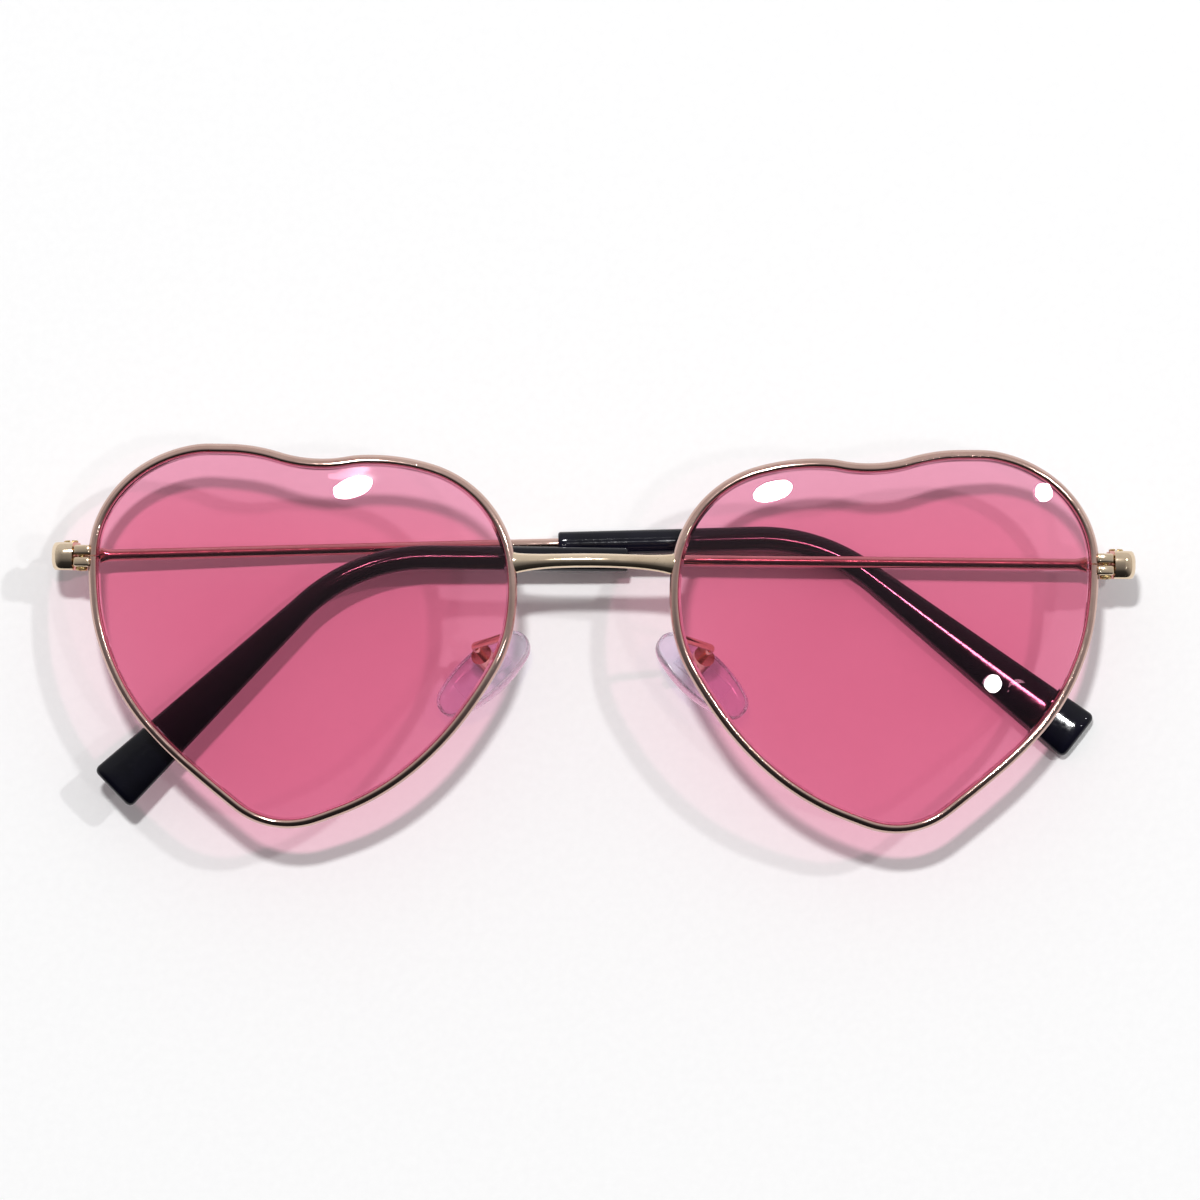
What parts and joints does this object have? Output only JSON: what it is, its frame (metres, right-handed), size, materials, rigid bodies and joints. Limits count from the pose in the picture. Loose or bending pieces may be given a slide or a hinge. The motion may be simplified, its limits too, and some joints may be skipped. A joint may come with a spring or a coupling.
{
  "type": "heart shaped sunglasses",
  "caption": "Metal-framed sunglasses with tinted heart-shaped lenses, adjustable nose pads and hinged temples with plastic ear sleeves, folded and lying front side up.",
  "frame": {"origin": "on the resting plane, below the middle of the bounding box", "axes": "+X to the wearer's left, +Y towards the brow, +Z out of the front of the lenses"},
  "size_m": [0.143, 0.0508, 0.0179],
  "materials": {
    "frame_metal": "polished pale gold plate",
    "screw_metal": "polished pale gold plate",
    "lens_tint": "clear rose tint, lighter towards the brow",
    "sleeve_plastic": "gloss black",
    "pad_silicone": "clear, satin",
    "pad_core": "clear"
  },
  "bodies": {
    "front": {"bridge": "frame_metal", "left_rim": "frame_metal", "left_lens": "lens_tint", "left_lock_upper": "frame_metal", "left_lock_lower": "frame_metal", "left_lock_screw": "screw_metal", "left_end_piece": "frame_metal", "left_pad_arm": "frame_metal", "left_pad_box": "frame_metal", "left_pad_screw": "screw_metal", "left_hinge_front": "frame_metal", "left_hinge_screw": "screw_metal", "right_rim": "frame_metal", "right_lens": "lens_tint", "right_lock_upper": "frame_metal", "right_lock_lower": "frame_metal", "right_lock_screw": "screw_metal", "right_end_piece": "frame_metal", "right_pad_arm": "frame_metal", "right_pad_box": "frame_metal", "right_pad_screw": "screw_metal", "right_hinge_front": "frame_metal", "right_hinge_screw": "screw_metal"},
    "left_temple": {"left_hinge_temple": "frame_metal", "left_temple_wire": "frame_metal", "left_temple_sleeve": "sleeve_plastic"},
    "right_temple": {"right_hinge_temple": "frame_metal", "right_temple_wire": "frame_metal", "right_temple_sleeve": "sleeve_plastic"},
    "left_pad": {"left_nose_pad": "pad_silicone", "left_pad_insert": "pad_core"},
    "right_pad": {"right_nose_pad": "pad_silicone", "right_pad_insert": "pad_core"}
  },
  "joints": [
    {"name": "left_temple_fold", "type": "hinge", "parent": "front", "child": "left_temple", "pos_m": [0.06899, 0.0101, 0.00644], "axis": [-0.0026, -1, 0], "range_deg": [0, 91]},
    {"name": "right_temple_fold", "type": "hinge", "parent": "front", "child": "right_temple", "pos_m": [-0.06899, 0.0101, 0.00644], "axis": [-0.034, 0.9994, 0], "range_deg": [0, 88.5]},
    {"name": "left_pad_rock", "type": "hinge", "parent": "front", "child": "left_pad", "pos_m": [0.01416, -0.00292, 0.00466], "axis": [-0.5313, -0.5963, 0.6018], "range_deg": [-10, 10]},
    {"name": "right_pad_rock", "type": "hinge", "parent": "front", "child": "right_pad", "pos_m": [-0.01416, -0.00292, 0.00466], "axis": [0.5313, -0.5963, 0.6018], "range_deg": [-10, 10]}
  ]
}
